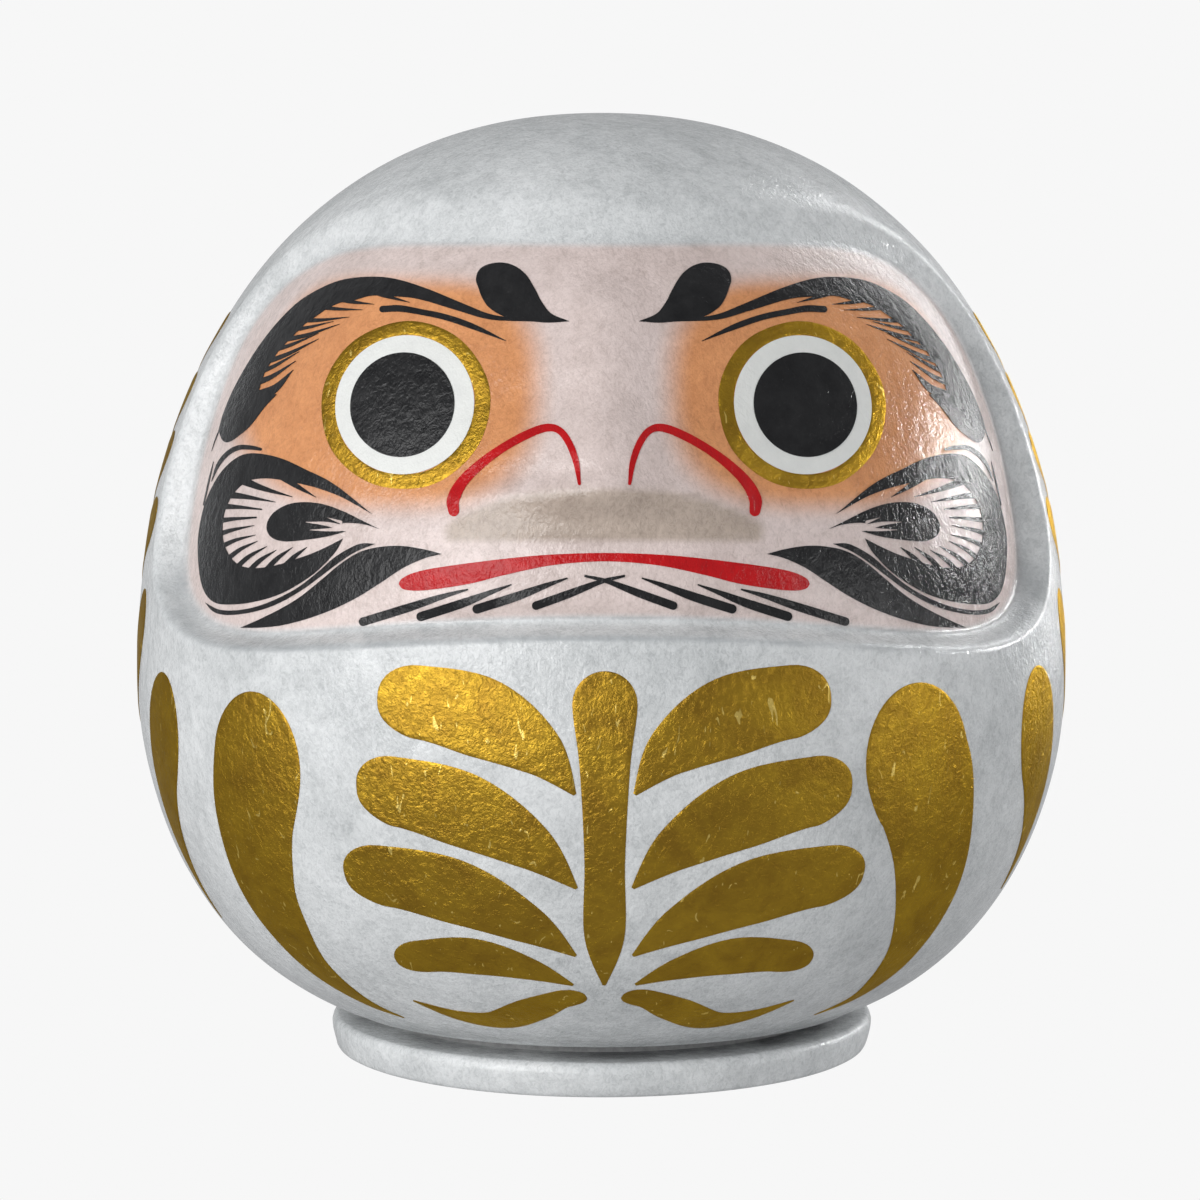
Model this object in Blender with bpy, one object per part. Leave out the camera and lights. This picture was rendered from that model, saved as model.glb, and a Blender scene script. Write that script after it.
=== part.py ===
"""Daruma doll: a hollow papier-mache body in two halves on a clay weight, with gold leaf strokes.

The front faces -Y and +Z is up. Lengths inside the tables are millimetres and azimuths are degrees
from the front, positive towards +X. Objects are made in metres.
"""

import math

import bpy
from mathutils import Vector

MM = 0.001

# Body profile: two quarter curves that meet at the widest ring.
BODY_RADIUS = 90.0
WIDEST_Z = 74.0
UPPER = (107.0, 2.1, 2.25)  # reach above the widest ring, then the two exponents
LOWER = (70.8, 2.0, 3.2)
HEM_Z = 9.0
WALL = 2.5
GAP = 0.3
SEAM_HALF = 0.15

# Sunken face: a flat-bottomed recess inside a rolled rim. Each outline is
# (half width in degrees, top z, middle z, bottom z, droop of the lower corners, lift of the upper
# ones, squareness).
FACE_FLOOR = (70.2, 154.0, 118.0, 89.1, 6.0, 2.4, 4.5)
FACE_RIM = (71.6, 164.5, 118.0, 84.6, 6.0, 0.0, 3.9)
FACE_DEPTH = ((98.0, 5.3), (150.0, 3.0))
NOSE_RIDGE = (
    (99.0, 0.0), (104.0, 0.7), (109.0, 2.8), (114.0, 3.0), (130.0, 2.4), (141.0, 1.6), (150.0, 0.0),
)
NOSE_WINGS = ((100.0, 0.0), (104.0, 1.0), (109.5, 3.6), (114.0, 3.1), (128.0, 0.0))
MUZZLE = ((86.5, 0.0), (92.0, 2.2), (98.0, 3.0), (104.0, 2.4), (109.0, 1.0), (113.0, 0.0))

# Foot.
FOOT_RADIUS = 53.1
FOOT_TOP = 6.5
NECK_RADIUS = 43.7
SHELL_MOUTH = 41.0
PAPER_RADIUS = 45.7

# Gold leaf lies this far over the shell, and is this thick.
LEAF_LIFT = 0.3
LEAF_THICK = 0.4
RING_LIFT = 0.45

# Strokes: knots of (azimuth, z, half width). The first end is the round head.
FRONT_LEFT = (
    (-41.1, 74.4, 0.0), (-43.0, 61.8, 11.2), (-45.0, 53.2, 10.6), (-46.1, 46.2, 9.8),
    (-46.9, 39.4, 8.7), (-46.8, 32.6, 7.5), (-46.1, 25.8, 5.4), (-44.2, 21.0, 3.7),
    (-40.8, 16.5, 1.7), (-36.4, 14.0, 0.3),
)
FRONT_RIGHT = (
    (34.6, 76.1, 0.0), (37.5, 63.1, 11.8), (39.8, 56.9, 11.3), (42.2, 49.0, 10.1),
    (44.2, 41.0, 9.0), (45.6, 33.9, 7.5), (46.4, 27.6, 5.6), (46.2, 21.8, 3.9), (44.3, 17.0, 1.6),
    (39.0, 14.1, 0.3),
)
SIDE_LEFT = (
    (-62.0, 75.7, 0.0), (-64.4, 64.6, 8.2), (-66.6, 57.2, 7.3), (-68.0, 50.0, 5.4),
    (-69.0, 43.0, 3.5), (-69.8, 36.0, 1.9), (-70.0, 28.5, 0.3),
)
SIDE_RIGHT = (
    (59.8, 76.8, 0.0), (63.1, 64.8, 9.0), (65.3, 58.6, 8.2), (67.3, 51.6, 6.2), (68.6, 46.2, 4.2),
    (69.5, 40.6, 2.3), (69.9, 34.0, 0.3),
)

# Strokes that start at the edge of the sleeve and sweep back and down round the side, given for the
# right side.
SLEEVES = (
    ((76.2, 141.2, 0.0), (80.6, 138.6, 4.0), (88.0, 133.6, 4.6), (98.0, 126.4, 3.8), (112.0, 116.0, 0.3)),
    ((76.0, 129.4, 0.0), (80.4, 126.6, 4.4), (88.6, 120.6, 5.0), (102.0, 111.0, 4.0), (120.0, 98.0, 0.3)),
    ((74.8, 118.0, 0.0), (79.4, 115.0, 4.6), (88.6, 108.0, 5.2), (104.0, 96.5, 4.2), (124.0, 82.0, 0.3)),
    ((73.4, 105.6, 0.0), (78.2, 102.0, 4.8), (88.8, 93.4, 5.2), (104.0, 80.2, 4.2), (122.0, 63.4, 0.3)),
    ((73.2, 90.0, 0.0), (77.0, 81.6, 5.0), (84.0, 69.8, 5.4), (94.0, 55.5, 4.4), (106.0, 39.0, 0.3)),
)

# Sprig on the belly: an upright stem, four leaves for the right side, and the wave below them.
STEM = (
    (0.0, 80.0, 0.0), (0.0, 74.5, 5.4), (0.0, 64.0, 4.2), (0.0, 48.0, 3.4), (0.0, 34.0, 3.4),
    (0.0, 24.6, 0.3),
)
LEAVES = (
    ((25.0, 73.4, 0.0), (20.4, 74.4, 6.2), (13.0, 72.0, 6.8), (7.0, 66.6, 4.4), (3.2, 59.4, 0.3)),
    ((28.2, 58.2, 0.0), (23.6, 59.0, 6.2), (15.4, 56.2, 6.8), (8.2, 50.2, 4.4), (3.2, 43.0, 0.3)),
    ((31.8, 42.4, 0.0), (26.6, 43.8, 6.0), (17.4, 41.6, 6.6), (9.4, 36.2, 4.2), (3.6, 30.4, 0.3)),
    ((28.4, 27.0, 0.0), (24.0, 29.0, 3.8), (16.6, 29.6, 4.4), (9.8, 27.6, 2.8), (4.2, 24.6, 0.3)),
)
WAVE = (
    (2.4, 21.8, 0.0), (5.8, 21.6, 2.6), (10.6, 19.0, 3.6), (16.8, 16.0, 3.4), (23.6, 16.4, 2.1),
    (30.0, 19.0, 0.3),
)

# Eye rings, laid out on a plane in front of the face: centre x and z, outer half sizes, inner half
# sizes. They reach the face along lines from the view point, off a smooth bowl that lies
# DRAWING_DEPTH inside the body.
EYE = (36.8, 126.4, 16.1, 15.3, 13.25, 12.7)
VIEW_POINT = (-3.5, -555.8, 116.9)
DRAWING_DEPTH = 5.5


def clear_scene():
    for obj in list(bpy.data.objects):
        bpy.data.objects.remove(obj)


def radius(z):
    reach, power, root = UPPER if z >= WIDEST_Z else LOWER
    t = min(1.0, abs(z - WIDEST_Z) / reach)
    return BODY_RADIUS * (1.0 - t**power) ** (1.0 / root)


def slope(z):
    step = 0.01
    return (radius(z + step) - radius(z - step)) / (2.0 * step)


def smooth_table(z, table):
    if z <= table[0][0]:
        return table[0][1]
    for (z0, h0), (z1, h1) in zip(table, table[1:]):
        if z < z1:
            t = (z - z0) / (z1 - z0)
            return h0 + (h1 - h0) * t * t * (3.0 - 2.0 * t)
    return table[-1][1]


def outline_level(azimuth, z, outline):
    """1 on the outline, less inside it."""
    half, top, middle, bottom, droop, lift, square = outline
    corner = (azimuth / 45.0) ** 2 * math.exp(-((azimuth / 75.0) ** 4))
    low = bottom - droop * corner
    high = top + lift * corner
    v = (z - middle) / (high - middle) if z >= middle else (middle - z) / (middle - low)
    return (abs(azimuth / half) ** square + v**square) ** (1.0 / square)


def rounded_ramp(t, soft=0.28):
    def knee(s):
        s = max(0.0, s)
        return s * s / (2.0 * soft) if s < soft else s - soft / 2.0

    return (knee(t) - knee(t - (1.0 - soft))) / (1.0 - soft)


def recess(azimuth, z):
    """1 on the floor of the face, 0 outside the rim."""
    over_floor = max(0.0, outline_level(azimuth, z, FACE_FLOOR) - 1.0)
    under_rim = max(0.0, 1.0 - outline_level(azimuth, z, FACE_RIM))
    if under_rim == 0.0:
        return 0.0
    return 1.0 - rounded_ramp(over_floor / (over_floor + under_rim))


def relief(azimuth, z):
    """Height of nose, lip and eye hollows over the face floor."""
    x = 80.0 * math.radians(azimuth)
    high = smooth_table(z, NOSE_RIDGE) * math.exp(-((x / 8.5) ** 2))
    high += smooth_table(z, NOSE_WINGS) * math.exp(-((x / 23.0) ** 4))
    high += smooth_table(z, MUZZLE) * math.exp(-((x / 33.0) ** 4))
    for side in (-1.0, 1.0):
        high -= 0.9 * math.exp(-(((x - side * 33.0) ** 2 + (z - 124.0) ** 2) / 289.0))
    return high


def skin(azimuth, z, lift=0.0):
    """Point on the body's outer surface, moved out by lift."""
    r = radius(z)
    incline = slope(z)
    across = 1.0 / math.hypot(1.0, incline)
    amount = lift
    if abs(azimuth) < 90.0:
        depth = recess(azimuth, z)
        amount += depth * (relief(azimuth, z) - smooth_table(z, FACE_DEPTH))
    angle = math.radians(azimuth)
    flat = r + amount * across
    return Vector((flat * math.sin(angle), -flat * math.cos(angle), z - amount * across * incline))


def bearing(point):
    """Direction of a point from the view point, as sideways and upward parts."""
    ahead = point.y - VIEW_POINT[1]
    return (point.x - VIEW_POINT[0]) / ahead, (point.z - VIEW_POINT[2]) / ahead


def face_skin(x, z, lift=0.0):
    """Point on the skin that lies behind (x, z) of the plane, seen from the view point."""
    r = radius(z)
    incline = slope(z)
    across = 1.0 / math.hypot(1.0, incline)
    angle = math.asin(x / r)
    flat = r - DRAWING_DEPTH * across
    height = z + DRAWING_DEPTH * across * incline
    aim = bearing(Vector((flat * math.sin(angle), -flat * math.cos(angle), height)))
    azimuth = math.degrees(angle)
    step = 0.05
    for _ in range(14):
        here = bearing(skin(azimuth, z))
        turned = bearing(skin(azimuth + step, z))
        raised = bearing(skin(azimuth, z + step))
        ax, az = (turned[0] - here[0]) / step, (turned[1] - here[1]) / step
        bx, bz = (raised[0] - here[0]) / step, (raised[1] - here[1]) / step
        dx, dz = aim[0] - here[0], aim[1] - here[1]
        whole = ax * bz - az * bx
        azimuth += 0.8 * (dx * bz - dz * bx) / whole
        z += 0.8 * (ax * dz - az * dx) / whole
    return skin(azimuth, z, lift)


def make_object(name, points, faces, color, roughness, metallic=0.0):
    mesh = bpy.data.meshes.new(name)
    mesh.from_pydata([point * MM for point in points], [], faces)
    mesh.validate()
    mesh.shade_smooth()
    mesh.set_sharp_from_angle(angle=math.radians(35.0))
    obj = bpy.data.objects.new(name, mesh)
    bpy.context.collection.objects.link(obj)
    material = bpy.data.materials.new(name + "_material")
    material.use_nodes = True
    shader = material.node_tree.nodes["Principled BSDF"]
    shader.inputs["Base Color"].default_value = (*color, 1.0)
    shader.inputs["Roughness"].default_value = roughness
    shader.inputs["Metallic"].default_value = metallic
    mesh.materials.append(material)
    return obj


def slab(name, outer, inner, color, roughness, metallic=0.0):
    """Closed solid between two grids of points with the same rows and columns.

    Columns run to the right seen from outside and rows run up.
    """
    rows = len(outer)
    columns = len(outer[0])
    points = [point for row in outer for point in row] + [point for row in inner for point in row]
    under = rows * columns
    faces = []
    for i in range(rows - 1):
        for j in range(columns - 1):
            a = i * columns + j
            quad = (a, a + 1, a + columns + 1, a + columns)
            faces.append(quad)
            faces.append(tuple(under + index for index in reversed(quad)))
    border = [j for j in range(columns)]
    border += [i * columns + columns - 1 for i in range(1, rows)]
    border += [(rows - 1) * columns + j for j in range(columns - 2, -1, -1)]
    border += [i * columns for i in range(rows - 2, 0, -1)]
    for a, b in zip(border, border[1:] + border[:1]):
        faces.append((a, a + under, b + under, b))
    return make_object(name, points, faces, color, roughness, metallic)


def lathe(name, profile, color, roughness, steps=64, metallic=0.0):
    """Turns (radius, z) pairs about Z.

    The pairs run from the bottom to the top seen on the right-hand side. A closed profile that starts
    and ends on the axis makes a disc, and any other makes a ring.
    """
    rings = []
    points = []
    for r, z in profile:
        if r == 0.0:
            rings.append([len(points)] * steps)
            points.append(Vector((0.0, 0.0, z)))
            continue
        rings.append(list(range(len(points), len(points) + steps)))
        for k in range(steps):
            angle = math.tau * k / steps
            points.append(Vector((r * math.cos(angle), r * math.sin(angle), z)))
    pairs = list(zip(rings, rings[1:]))
    if profile[0][0] > 0.0:
        pairs.append((rings[-1], rings[0]))
    faces = []
    for low, high in pairs:
        for k in range(steps):
            n = (k + 1) % steps
            corners = []
            for index in (low[k], low[n], high[n], high[k]):
                if index not in corners:
                    corners.append(index)
            faces.append(tuple(corners))
    return make_object(name, points, faces, color, roughness, metallic)


def body_levels(count):
    """Heights from the hem to just under the crown, closer together where the profile turns."""
    start = math.asin(((WIDEST_Z - HEM_Z) / LOWER[0]) ** (LOWER[1] / 2.0))
    levels = []
    for i in range(count):
        turn = -start + (math.pi / 2.0 + start) * i / count
        reach, power, _ = UPPER if turn >= 0.0 else LOWER
        levels.append(WIDEST_Z + math.copysign(reach * math.sin(abs(turn)) ** (2.0 / power), turn))
    return levels


def shell_half(name, side, azimuths, levels):
    """One moulded half: outer skin, inner skin, turned-in hem and seam edges, as one closed solid."""
    rows = [[skin(a, z) for a in azimuths] for z in levels]
    inner = [[skin(a, max(z, HEM_Z + WALL), -WALL) for a in azimuths] for z in levels]
    rim_low = []
    for a in azimuths:
        angle = math.radians(a)
        edge = (SHELL_MOUTH * math.sin(angle), -SHELL_MOUTH * math.cos(angle))
        rim_low.append(Vector((*edge, HEM_Z - 0.2)))
    rim_high = [Vector((point.x, point.y, HEM_Z + WALL - 0.2)) for point in rim_low]
    rows.insert(0, rim_low)
    inner.insert(0, rim_high)
    columns = len(azimuths)
    points = [point.copy() for row in rows + inner for point in row]
    under = len(rows) * columns
    apex = len(points)
    points.append(Vector((0.0, 0.0, WIDEST_Z + UPPER[0])))
    points.append(Vector((0.0, 0.0, WIDEST_Z + UPPER[0] - WALL)))
    for point in points:
        point.y = max(point.y, SEAM_HALF) if side > 0 else min(point.y, -SEAM_HALF)
    faces = []
    for i in range(len(rows) - 1):
        for j in range(columns - 1):
            a = i * columns + j
            quad = (a, a + 1, a + columns + 1, a + columns)
            faces.append(quad)
            faces.append(tuple(under + index for index in reversed(quad)))
    top = (len(rows) - 1) * columns
    for j in range(columns - 1):
        faces.append((top + j, top + j + 1, apex))
        faces.append((under + top + j + 1, under + top + j, apex + 1))
        faces.append((j, under + j, under + j + 1, j + 1))
    right = [i * columns + columns - 1 for i in range(len(rows))]
    left = [i * columns for i in range(len(rows))]
    for a, b in zip(right, right[1:]):
        faces.append((a, a + under, b + under, b))
    for a, b in zip(left, left[1:]):
        faces.append((b, b + under, a + under, a))
    faces.append((right[-1], right[-1] + under, apex + 1, apex))
    faces.append((left[-1] + under, left[-1], apex, apex + 1))
    return make_object(name, points, faces, (0.86, 0.87, 0.87), 0.45)


def seam_strip(levels):
    """Paper strip pasted inside over the joint of the halves, from side to side over the crown."""
    def arch(depth):
        side = []
        for z in levels[3:]:
            point = skin(90.0, z, -depth)
            side.append((point.x, point.z))
        left = [(-x, z) for x, z in side]
        return left + [(0.0, WIDEST_Z + UPPER[0] - depth)] + side[::-1]

    outer = [[Vector((x, y, z)) for x, z in arch(WALL + 0.6)] for y in (6.0, -6.0)]
    inner = [[Vector((x, y, z)) for x, z in arch(WALL + 1.1)] for y in (6.0, -6.0)]
    return slab("seam_strip", outer[::-1], inner[::-1], (0.82, 0.78, 0.68), 0.9)


def along(knots, t):
    """Smooth curve through the knots, t from 0 to the last knot's number."""
    i = min(int(t), len(knots) - 2)
    u = t - i
    before = knots[max(i - 1, 0)]
    after = knots[min(i + 2, len(knots) - 1)]
    values = []
    for p0, p1, p2, p3 in zip(before, knots[i], knots[i + 1], after):
        bend = 2.0 * p1 + (p2 - p0) * u + (2.0 * p0 - 5.0 * p1 + 4.0 * p2 - p3) * u * u
        values.append(0.5 * (bend + (3.0 * p1 - p0 - 3.0 * p2 + p3) * u**3))
    return values


def half_width(knots, t):
    """Half width of the stroke: an ellipse over the first stretch, then smooth through the knots."""
    if t < 1.0:
        azimuth, z, _ = along(knots, t)
        start, full = knots[0], knots[1]
        part = math.hypot((azimuth - start[0]) * 1.5, z - start[1])
        part /= math.hypot((full[0] - start[0]) * 1.5, full[1] - start[1])
        return full[2] * math.sqrt(max(0.0, 1.0 - max(0.0, 1.0 - part) ** 2))
    level = ((knots[0][0], knots[0][1], knots[2][2]), *knots[1:])
    return max(0.3, along(level, t)[2])


def stroke_rows(knots, steps, columns):
    """Rows of (azimuth, z) across the stroke, from its head to its tail."""
    rows = []
    last = len(knots) - 1
    for i in range(steps + 1):
        t = max(last * i / steps, 0.01)
        azimuth, z, _ = along(knots, t)
        near = along(knots, max(0.0, t - 0.05))
        far = along(knots, min(last, t + 0.05))
        per_degree = radius(z) * math.pi / 180.0
        per_rise = math.hypot(1.0, slope(z))
        run = (far[0] - near[0]) * per_degree
        rise = (far[1] - near[1]) * per_rise
        length = math.hypot(run, rise)
        wide = half_width(knots, t)
        row = []
        for j in range(columns):
            s = 2.0 * j / (columns - 1) - 1.0
            side = s * wide / length
            row.append((azimuth - side * rise / per_degree, z + side * run / per_rise))
        rows.append(row)
    return rows


def leaf_stroke(name, knots, steps=14, columns=4):
    rows = stroke_rows(knots, steps, columns)[::-1]
    outer = [[skin(a, z, LEAF_LIFT + LEAF_THICK) for a, z in row] for row in rows]
    inner = [[skin(a, z, LEAF_LIFT) for a, z in row] for row in rows]
    return slab(name, outer, inner, (0.72, 0.50, 0.10), 0.35, 1.0)


def mirrored(knots):
    return tuple((-azimuth, z, wide) for azimuth, z, wide in knots)


def eye_ring(name, side, steps=36):
    middle, height, wide_out, tall_out, wide_in, tall_in = EYE
    levels = (RING_LIFT, RING_LIFT + LEAF_THICK)
    points = []
    for k in range(steps):
        angle = math.tau * k / steps
        c = math.cos(angle)
        s = math.sin(angle)
        for wide, tall in ((wide_in, tall_in), (wide_out, tall_out)):
            for lift in levels:
                points.append(face_skin(side * middle + wide * c, height + tall * s, lift))
    faces = []
    for k in range(steps):
        a = 4 * k
        b = 4 * ((k + 1) % steps)
        faces.append((a + 1, a + 3, b + 3, b + 1))
        faces.append((a + 3, a + 2, b + 2, b + 3))
        faces.append((a + 2, a, b, b + 2))
        faces.append((a, a + 1, b + 1, b))
    return make_object(name, points, faces, (0.72, 0.50, 0.10), 0.35, 1.0)


def build_body():
    levels = body_levels(36)
    half = [3.5 * j for j in range(1, 18)]
    half += [62.0, 64.0, 66.0, 67.5, 69.0, 70.5, 72.0, 73.5, 75.0, 77.0, 80.0, 83.5, 87.0, 90.0]
    front = [-a for a in reversed(half)] + [0.0] + half
    back = [90.0 + 180.0 * j / 20 for j in range(21)]
    shell_half("front_shell", -1, front, levels)
    shell_half("back_shell", 1, back, levels)
    seam_strip(levels)


def build_foot():
    weight = (
        (0.0, 0.8), (46.0, 0.8), (46.0, 0.0), (51.6, 0.0), (52.3, 0.8), (52.9, 3.0),
        (FOOT_RADIUS, 4.8), (52.9, 5.6), (52.2, 6.2), (51.0, FOOT_TOP), (NECK_RADIUS, FOOT_TOP),
        (NECK_RADIUS, 8.5), (40.7, 8.5), (40.7, 15.0), (0.0, 15.0),
    )
    lathe("foot_weight", weight, (0.85, 0.86, 0.86), 0.5)
    collar = (
        (NECK_RADIUS + GAP, FOOT_TOP + GAP), (NECK_RADIUS + 0.9, FOOT_TOP + GAP),
        (NECK_RADIUS + 0.9, 8.5), (NECK_RADIUS + GAP, 8.5),
    )
    lathe("neck_strip", collar, (0.80, 0.80, 0.79), 0.8)
    disc = ((0.0, 0.0), (PAPER_RADIUS, 0.0), (PAPER_RADIUS, 0.5), (0.0, 0.5))
    lathe("foot_paper", disc, (0.80, 0.77, 0.70), 0.9)


def build_gold():
    eye_ring("eye_ring_left", -1.0)
    eye_ring("eye_ring_right", 1.0)
    leaf_stroke("robe_front_left", FRONT_LEFT, 20, 5)
    leaf_stroke("robe_front_right", FRONT_RIGHT, 20, 5)
    leaf_stroke("robe_side_left", SIDE_LEFT)
    leaf_stroke("robe_side_right", SIDE_RIGHT)
    for number, knots in enumerate(SLEEVES, 1):
        leaf_stroke(f"sleeve_left_{number}", mirrored(knots), 20, 5)
        leaf_stroke(f"sleeve_right_{number}", knots, 20, 5)
    leaf_stroke("sprig_stem", STEM, 12, 3)
    for number, knots in enumerate(LEAVES, 1):
        leaf_stroke(f"sprig_leaf_left_{number}", mirrored(knots), 12, 3)
        leaf_stroke(f"sprig_leaf_right_{number}", knots, 12, 3)
    leaf_stroke("wave_left", mirrored(WAVE), 12, 3)
    leaf_stroke("wave_right", WAVE, 12, 3)


def main():
    clear_scene()
    build_body()
    build_foot()
    build_gold()


main()
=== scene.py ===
"""Looks for the daruma doll: painted skins, gilt strokes, face paint, materials, camera and light."""

import math

import bpy
import numpy as np
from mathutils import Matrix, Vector, geometry


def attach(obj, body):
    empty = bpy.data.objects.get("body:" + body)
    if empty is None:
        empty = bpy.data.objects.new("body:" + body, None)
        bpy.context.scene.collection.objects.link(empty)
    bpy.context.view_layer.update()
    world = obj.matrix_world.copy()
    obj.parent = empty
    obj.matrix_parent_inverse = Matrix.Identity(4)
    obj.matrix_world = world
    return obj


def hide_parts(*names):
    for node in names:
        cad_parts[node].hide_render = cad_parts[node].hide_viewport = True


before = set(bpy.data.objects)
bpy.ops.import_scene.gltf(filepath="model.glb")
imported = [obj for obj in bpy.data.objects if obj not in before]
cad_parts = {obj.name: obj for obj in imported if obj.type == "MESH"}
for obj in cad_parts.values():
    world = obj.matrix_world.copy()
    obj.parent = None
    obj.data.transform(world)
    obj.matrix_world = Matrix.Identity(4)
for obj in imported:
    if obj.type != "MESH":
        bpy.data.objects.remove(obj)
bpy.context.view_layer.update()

MM = 0.001

# ---------------- body shape, in millimetres and degrees
BODY_RADIUS = 90.0
WIDEST_Z = 74.0
# Reach in height, and the two powers of the curve, above and below the widest height.
UPPER = (107.0, 2.1, 2.25)
LOWER = (70.8, 2.0, 3.2)
HEM_Z = 9.0
CROWN_Z = WIDEST_Z + UPPER[0]
WALL = 2.5
# Half width, heights of top, middle and bottom, droop and lift of the corners, squareness.
FACE_FLOOR = (69.0, 154.0, 118.0, 89.1, 6.0, 2.4, 4.5)
FACE_RIM = (72.4, 164.5, 118.0, 84.6, 6.0, 0.0, 3.9)
RIM_SOFTNESS = 0.42
FACE_DEPTH = ((98.0, 5.3), (150.0, 3.0))
NOSE_RIDGE = (
    (99.0, 0.0), (104.0, 0.7), (109.0, 2.8), (114.0, 3.0), (130.0, 2.4), (141.0, 1.6), (150.0, 0.0),
)
NOSE_WINGS = ((100.0, 0.0), (104.0, 1.0), (109.5, 3.6), (114.0, 3.1), (128.0, 0.0))
MUZZLE = ((86.5, 0.0), (92.0, 2.2), (98.0, 3.0), (104.0, 2.4), (109.0, 1.0), (113.0, 0.0))


def radius(z):
    """Radius of the body at a height."""
    up = z >= WIDEST_Z
    reach = np.where(up, UPPER[0], LOWER[0])
    power = np.where(up, UPPER[1], LOWER[1])
    root = np.where(up, UPPER[2], LOWER[2])
    t = np.clip(np.abs(z - WIDEST_Z) / reach, 0.0, 1.0)
    return BODY_RADIUS * np.clip(1.0 - t**power, 0.0, 1.0) ** (1.0 / root)


def slope(z):
    """Change of the radius with height."""
    step = 0.01
    high = np.minimum(z + step, CROWN_Z)
    return (radius(high) - radius(z - step)) / (high - z + step)


def smooth_table(z, table):
    """Value at a height from (height, value) rows, with a smooth step between rows."""
    out = np.where(z <= table[0][0], table[0][1], table[-1][1]).astype(float)
    for (z0, h0), (z1, h1) in zip(table, table[1:]):
        t = np.clip((z - z0) / (z1 - z0), 0.0, 1.0)
        out = np.where((z > z0) & (z < z1), h0 + (h1 - h0) * t * t * (3.0 - 2.0 * t), out)
    return out


def outline_level(azimuth, z, outline):
    """How far out a point is in an outline, 1 on it."""
    half, top, middle, bottom, droop, lift, square = outline
    corner = (azimuth / 45.0) ** 2 * np.exp(-((azimuth / 75.0) ** 4))
    low = bottom - droop * corner
    high = top + lift * corner
    v = np.where(z >= middle, (z - middle) / (high - middle), (middle - z) / (middle - low))
    return (np.abs(azimuth / half) ** square + np.abs(v) ** square) ** (1.0 / square)


def knee(s, soft):
    """0 below 0, then a parabola up to soft, then a line of slope 1."""
    s = np.maximum(0.0, s)
    return np.where(s < soft, s * s / (2.0 * soft), s - soft / 2.0)


def recess(azimuth, z):
    """How far down into the face's recess a point is, 1 on the floor and 0 outside the rim."""
    soft = RIM_SOFTNESS
    over_floor = np.maximum(0.0, outline_level(azimuth, z, FACE_FLOOR) - 1.0)
    under_rim = np.maximum(0.0, 1.0 - outline_level(azimuth, z, FACE_RIM))
    t = np.where(under_rim <= 0.0, 1.0, over_floor / np.maximum(over_floor + under_rim, 1e-9))
    ramp = (knee(t, soft) - knee(t - (1.0 - soft), soft)) / (1.0 - soft)
    return np.where(np.abs(azimuth) < 90.0, 1.0 - ramp, 0.0)


def relief(azimuth, z):
    """Height of nose, nose wings, lip and eye hollows over the floor of the recess."""
    x = 80.0 * np.radians(azimuth)
    high = smooth_table(z, NOSE_RIDGE) * np.exp(-((x / 8.5) ** 2))
    high = high + smooth_table(z, NOSE_WINGS) * np.exp(-((x / 23.0) ** 4))
    high = high + smooth_table(z, MUZZLE) * np.exp(-((x / 33.0) ** 4))
    for side in (-1.0, 1.0):
        high = high - 0.9 * np.exp(-(((x - side * 33.0) ** 2 + (z - 124.0) ** 2) / 289.0))
    return high


def unevenness(azimuth, z):
    """Slow lumps of hand-pasted paper, and the ridge of the seam under the paint."""
    a = np.radians(azimuth)
    lumps = 0.10 * np.sin(5.0 * a + 0.05 * z) * np.sin(0.083 * z + 1.3)
    lumps = lumps + 0.06 * np.sin(11.0 * a - 0.11 * z + 2.0) * np.sin(0.17 * z + 0.4)
    calm = np.clip((CROWN_Z - z) / 12.0, 0.0, 1.0)
    ridge = 0.16 * np.exp(-((np.cos(a) * radius(z) / 2.2) ** 2))
    return lumps * calm + ridge


def moved_out(angle, z, amount):
    """Points of the plain body at angle (radians) and height z, moved out by amount."""
    incline = slope(z)
    across = 1.0 / np.hypot(1.0, incline)
    flat = radius(z) + amount * across
    height = z - amount * across * incline
    return np.stack([flat * np.sin(angle), -flat * np.cos(angle), height], axis=-1)


def skin(azimuth, z, lift=0.0):
    """Points on the painted surface, moved out by lift. Works on arrays of azimuths and heights."""
    azimuth = np.asarray(azimuth, float)
    z = np.asarray(z, float)
    in_face = recess(azimuth, z) * (relief(azimuth, z) - smooth_table(z, FACE_DEPTH))
    return moved_out(np.radians(azimuth), z, lift + in_face + unevenness(azimuth, z))


VIEW_POINT = np.array([-3.5, -555.8, 116.9])
DRAWING_DEPTH = 5.5
# The flat drawing stands at this y, in front of the face.
DRAWING_PLANE = -80.0


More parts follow.
